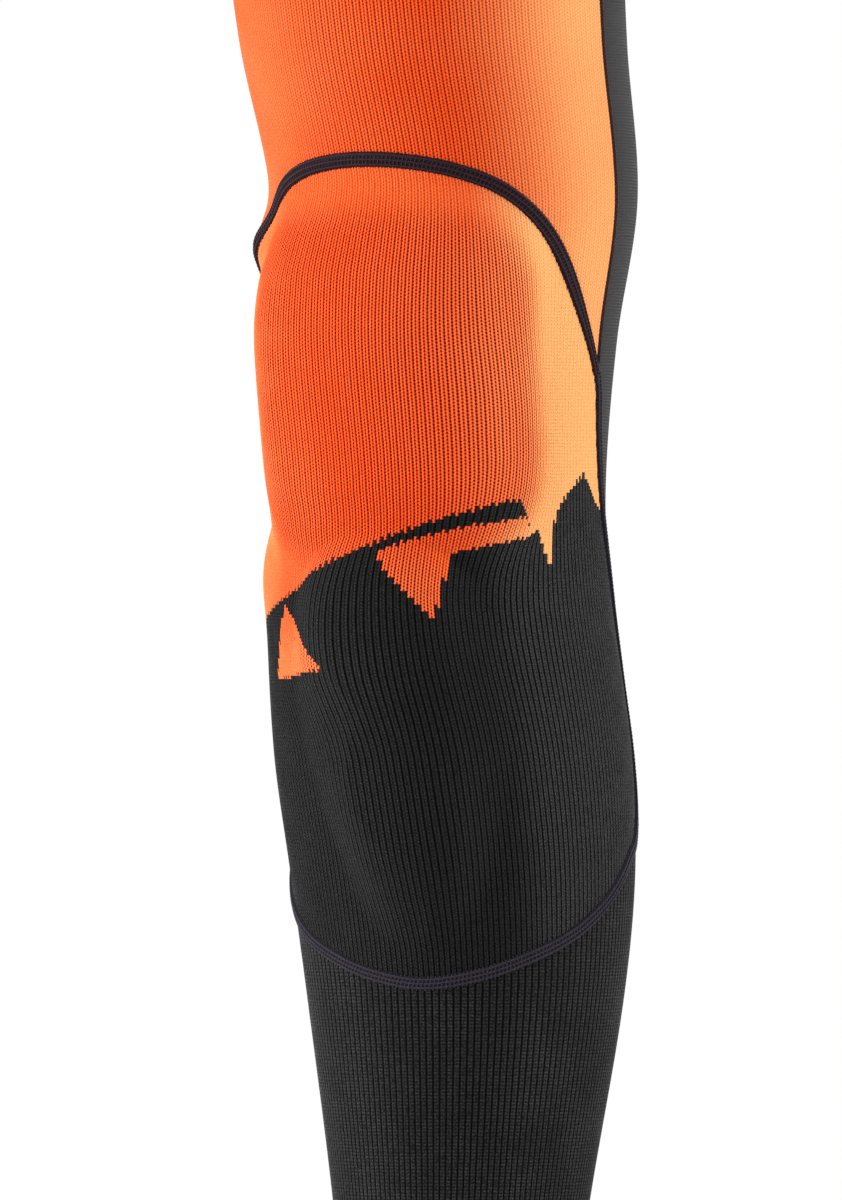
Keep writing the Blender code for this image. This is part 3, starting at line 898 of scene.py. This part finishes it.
def seams(thread, arch_thread, shadow_thread):
    right = [tuple(p) for p in PANEL_HALF[: TAIL + 1]]
    arch = mirrored(right[:0:-1]) + right
    piece = stitched_seam("upper_arch_stitching", arch_thread, arch, ARCH_SEAM_WIDTH, ends=SIDE_SEAM_WIDTH)
    add_seam(piece, "upper_arch_seam", True)

    for side, sign in (("left", -1.0), ("right", 1.0)):
        route = [(sign * (a + 0.6), z) for a, z in PANEL_HALF[TAIL : CORNER + 1]]
        piece = stitched_seam(f"{side}_side_stitching", thread, route, SIDE_SEAM_WIDTH, rails=(-0.55, 0.55))
        add_seam(piece, f"{side}_side_seam", True)
        heights = np.linspace(TOP_CUFF_LOW - 2.0, PANEL_HALF[TAIL, 1] + 4.0, 40)
        route = [(sign * (BACK_EDGE + 0.15), z) for z in heights]
        # The back seams are real, but their dark thread paints the shadow line where the orange and charcoal
        # panels meet
        piece = stitched_seam(f"{side}_back_stitching", shadow_thread, route, 1.7, lift=-0.35, rails=(0.0,),
                              thread=0.26)
        add_seam(piece, f"{side}_back_seam", True)

    lower = mirrored(PANEL_HALF[CORNER:-1]) + [tuple(p) for p in PANEL_HALF[:CORNER - 1:-1]]
    add_seam(stitched_seam("lower_arch_stitching", thread, lower, LOWER_SEAM_WIDTH), "lower_arch_seam", False)

    start = PANEL_HALF[CORNER, 0]
    back = [(a, CALF_SEAM) for a in np.linspace(start, 360.0 - start, 60)]
    piece = stitched_seam("calf_back_stitching", thread, back, SIDE_SEAM_WIDTH, rails=(-0.55, 0.55))
    add_seam(piece, "calf_back_seam", False)
    for end, z, body in (("top", TOP_CUFF_LOW, "thigh"), ("bottom", BOTTOM_CUFF_HIGH, "shin")):
        ring = [(a, z) for a in np.linspace(0.0, 360.0, 121)]
        piece = stitched_seam(f"{end}_cuff_stitching", thread, ring, 4.4, lift=0.9, rails=(-0.5, 0.5),
                              closed=True)
        add_seam(piece, f"{end}_cuff_seam", False, body)


# ---- The pad ----


def foam_piece(name, surface, ends, replaced, recess=False):
    """One moulded segment: a crowned face with diamond grooves and a hollow back where the cushion sits."""
    low, high = ends
    z = np.linspace(low, high, max(12, round((high - low) / 1.6)))[:, None]
    share = np.linspace(-1.0, 1.0, 61)[None, :]
    wide = pad_half_angle(z)
    a = share * wide
    u = np.radians(a) * leg_at(z)[0]
    z = np.broadcast_to(z, a.shape)
    edge = np.minimum(1.0 - np.abs(share), np.minimum(z - low, high - z) / 30.0)
    groove = 0.5 + 0.5 * np.cos((u + z) * math.pi / 7.0) * np.cos((u - z) * math.pi / 7.0)
    depth = 1.1 * smooth(groove, 0.62, 0.40) * smooth(edge, 0.02, 0.10)
    rim = 0.7 * (1.0 - smooth(edge, 0.0, 0.04))
    top = PAD_BACK + pad_thickness(a, z) - depth - rim
    hollow = recess * RECESS * smooth(0.5 - np.abs(share), -0.02, 0.02)
    hollow = hollow * smooth(z, CUSHION[1] - 7.0, CUSHION[1] - 5.0)
    hollow = hollow * smooth(-z, -CUSHION[2] - 7.0, -CUSHION[2] - 5.0)
    bottom = np.minimum(PAD_BACK + hollow, top - 0.8)
    piece = closed_patch(name, surface, a, z, bottom, top)
    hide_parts(replaced)
    bends(piece)


def closed_patch(name, surface, a, z, bottom, top, uv=None):
    """A solid between two heights over a grid of places."""
    rows, columns = a.shape
    points = np.concatenate([place(a, z, top).reshape(-1, 3), place(a, z, bottom).reshape(-1, 3)])
    upper = grid_faces(rows, columns)
    faces = upper.tolist() + (upper[:, ::-1] + rows * columns).tolist()
    rim = [(0, c) for c in range(columns)] + [(r, columns - 1) for r in range(1, rows)]
    rim += [(rows - 1, c) for c in range(columns - 2, -1, -1)] + [(r, 0) for r in range(rows - 2, 0, -1)]
    index = [r * columns + c for r, c in rim]
    for here, there in zip(index, index[1:] + index[:1]):
        faces.append([here, there, there + rows * columns, here + rows * columns])
    if uv is not None:
        uv = np.concatenate([uv.reshape(-1, 2)] * 2)
    return add_object(name, points, faces, surface, uv)


def pad(foam, soft_foam, carrier_foam, lining):
    foam_piece("flap_foam", foam, FLAP_Z, "pad_thigh_flap")
    foam_piece("cup_foam", foam, CUP_Z, "pad_knee_cup", recess=True)
    foam_piece("shin_foam_upper", foam, SHIN_UPPER_Z, "pad_shin_upper")
    foam_piece("shin_foam_lower", foam, SHIN_LOWER_Z, "pad_shin_lower")

    wide, low, high = CUSHION
    share, z = np.meshgrid(np.linspace(-1.0, 1.0, 41), np.linspace(low, high, 36))
    a = share * wide
    corner = np.maximum(np.abs(share), np.abs(z - 0.5 * (low + high)) / (0.5 * (high - low)))
    crown = CUSHION_THICK * (1.0 - 0.55 * smooth(corner, 0.72, 1.0))
    dimple = 0.35 * smooth(np.cos(np.radians(a) * 62.0 * math.pi / 4.0) * np.cos(z * math.pi / 4.0), 0.5, 1.0)
    top = PAD_BACK + crown - dimple
    piece = closed_patch("knee_cushion_foam", soft_foam, a, z, np.full_like(a, PAD_BACK), top)
    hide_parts("knee_cushion")
    bends(piece)

    sheets = (
        ("carrier_sheet", carrier_foam, 0.0, CARRIER, "pad_carrier", "carrier_foam", (0.115, 0.24), 0.021),
        ("pocket_net", lining, POCKET_MARGIN, LINING, "pocket_lining", "lining_mesh", (0.12, 0.25), 0.024),
    )
    for name, surface, margin, (bottom, top), replaced, slot_name, flat, area in sheets:
        high, low = FLAP_Z[1] + margin, SHIN_LOWER_Z[0] - margin
        z = np.linspace(high, low, 120)[:, None]
        half = pad_half_angle(np.clip(z, SHIN_LOWER_Z[0], FLAP_Z[1])) + margin
        a = np.linspace(-1.0, 1.0, 61)[None, :] * half
        z = np.broadcast_to(z, a.shape)
        uv = np.stack([a * 360.0 / 400.0, z / COURSE], axis=-1)
        piece = closed_patch(name, surface, a, z, bottom, top, uv)
        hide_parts(replaced)
        bends(piece)


# ---- Camera, light and floor ----

CAMERA_SIDE = 17.0
CAMERA_FAR = 9.0
CAMERA_LENS = 729.0
TARGET_RIGHT = -0.0107
TARGET_HEIGHT = -0.0556


def direction(side, up=0.0):
    """Unit vector towards an azimuth and an elevation: azimuth 0 is the front, -Y, and 90 is +X."""
    side, up = math.radians(side), math.radians(up)
    return Vector((math.sin(side) * math.cos(up), -math.cos(side) * math.cos(up), math.sin(up)))


def add_camera():
    data = bpy.data.cameras.new("camera")
    data.lens = CAMERA_LENS
    made = bpy.data.objects.new("camera", data)
    target = direction(CAMERA_SIDE + 90.0) * TARGET_RIGHT + Vector((0.0, 0.0, TARGET_HEIGHT))
    made.location = target + direction(CAMERA_SIDE) * CAMERA_FAR
    made.rotation_euler = (math.radians(90.0), 0.0, math.radians(CAMERA_SIDE))
    bpy.context.scene.collection.objects.link(made)
    bpy.context.scene.camera = made


def area_light(name, side, up, far, size, power):
    data = bpy.data.lights.new(name, "AREA")
    data.shape = "RECTANGLE"
    data.size, data.size_y = size
    data.energy = power
    made = bpy.data.objects.new(name, data)
    centre = Vector((0.0, 0.0, TARGET_HEIGHT))
    made.location = centre + direction(side, up) * far
    made.rotation_euler = (centre - made.location).to_track_quat("-Z", "Y").to_euler()
    bpy.context.scene.collection.objects.link(made)


def studio():
    area_light("left_softbox", CAMERA_SIDE - 82.0, 8.0, 1.6, (1.0, 1.6), 33.0)
    area_light("right_softbox", CAMERA_SIDE + 86.0, 8.0, 1.6, (1.0, 1.6), 29.0)
    area_light("front_fill", CAMERA_SIDE - 22.0, 30.0, 1.9, (0.7, 0.7), 20.5)
    area_light("back_left", CAMERA_SIDE - 150.0, 20.0, 1.8, (0.9, 1.4), 12.0)
    area_light("back_right", CAMERA_SIDE + 150.0, 20.0, 1.8, (0.9, 1.4), 12.0)

    world = bpy.data.worlds.new("studio")
    bpy.context.scene.world = world
    world.use_nodes = True
    tree = world.node_tree
    ambient = tree.nodes["Background"]
    ambient.inputs["Strength"].default_value = 0.42
    backdrop = tree.nodes.new("ShaderNodeBackground")
    backdrop.inputs["Color"].default_value = (1.0, 1.0, 1.0, 1.0)
    ambient.inputs["Color"].default_value = (1.0, 1.0, 1.0, 1.0)
    seen = tree.nodes.new("ShaderNodeLightPath")
    mix = tree.nodes.new("ShaderNodeMixShader")
    tree.links.new(seen.outputs["Is Camera Ray"], mix.inputs[0])
    tree.links.new(ambient.outputs[0], mix.inputs[1])
    tree.links.new(backdrop.outputs[0], mix.inputs[2])
    tree.links.new(mix.outputs[0], tree.nodes["World Output"].inputs["Surface"])
    bpy.context.scene.view_settings.view_transform = "Standard"


def add_floor():
    """A pale round floor that fades into the backdrop."""
    radius, rings, sides = 0.70, (0.0, 0.3, 0.5, 0.70), 96
    turn = np.arange(sides) * 2.0 * math.pi / sides
    points = [(r * math.cos(t), r * math.sin(t), BOTTOM_HEM * MM) for r in rings[1:] for t in turn]
    faces = grid_faces(len(rings) - 1, sides, closed=True).tolist() + [list(range(sides))]
    made = bpy.data.materials.new("pale_floor")
    made.use_nodes = True
    tree = made.node_tree
    shader = tree.nodes["Principled BSDF"]
    shader.inputs["Base Color"].default_value = (0.9, 0.9, 0.9, 1.0)
    shader.inputs["Roughness"].default_value = 0.9
    where = tree.nodes.new("ShaderNodeTexCoord")
    length = tree.nodes.new("ShaderNodeVectorMath")
    length.operation = "LENGTH"
    tree.links.new(where.outputs["Object"], length.inputs[0])
    tree.links.new(mapped(tree, length.outputs["Value"], 0.48, radius, 1.0, 0.0), shader.inputs["Alpha"])
    add_object("floor", points, faces, made)


def main():
    orange = (0.97, 0.066, 0.004)
    pale_orange = (1.0, 0.44, 0.155)
    hole = (0.15, 0.002, 0.001)
    black = (0.0012, 0.0012, 0.0014)
    add_camera()
    studio()
    add_floor()
    thigh_knit(knit_material("orange_knit", orange, pale_orange, hole, hole_size=0.55, vee=0.55))
    two_tone_knit = knit_material("two_tone_knit", orange, pale_orange, hole, hole_size=0.05, vee=0.35,
                                  dark=black, painted_rib_sheen=0.064)
    knee_knit(two_tone_knit)
    back_knit(twill_material("charcoal_mesh", (0.010, 0.010, 0.011), (0.046, 0.045, 0.045)))
    calf_knit(black_knit_material("black_rib_knit", black, 0.041, ribs=2.0))
    charcoal_welt = black_knit_material("charcoal_welt", (0.02, 0.02, 0.021), 0.045)
    black_welt = black_knit_material("black_welt", black, 0.030)
    welt("top_welt", charcoal_welt, TOP_CUFF_LOW, TOP_HEM, 132,
         "top_cuff", "thigh")
    welt("bottom_welt", black_welt, BOTTOM_HEM, BOTTOM_CUFF_HIGH, 96,
         "bottom_cuff", "shin")
    silicone = speckled_material("silicone", (0.34, 0.35, 0.37), (0.42, 0.43, 0.45), 0.35, 900.0, 0.03, 0.5)
    grip("thigh_gel_upper", silicone, 201.0, "thigh_grip_upper", "thigh")
    grip("thigh_gel_lower", silicone, 184.0, "thigh_grip_lower", "thigh")
    grip("calf_gel", silicone, -320.0, "calf_grip", "shin")
    thread = thread_material("navy_thread", (0.003, 0.002, 0.004), (0.030, 0.025, 0.038))
    arch_thread = thread_material("arch_thread", (0.006, 0.002, 0.004), (0.034, 0.013, 0.019))
    shadow_thread = thread_material("seam_shadow_thread", (0.020, 0.008, 0.008), (0.05, 0.03, 0.03))
    seams(thread, arch_thread, shadow_thread)
    foam = speckled_material("impact_foam", (0.80, 0.30, 0.04), (0.88, 0.38, 0.07), 0.6, 1200.0, 0.05)
    soft_foam = speckled_material("soft_foam", (0.07, 0.07, 0.08), (0.13, 0.13, 0.14), 0.9, 1600.0, 0.12)
    carrier = speckled_material("carrier_foam", (0.045, 0.045, 0.05), (0.08, 0.08, 0.085), 0.9, 1400.0, 0.08)
    pad(foam, soft_foam, carrier, net_material("lining_mesh", (0.006, 0.006, 0.006), (0.06, 0.06, 0.06)))


main()
bpy.context.view_layer.update()
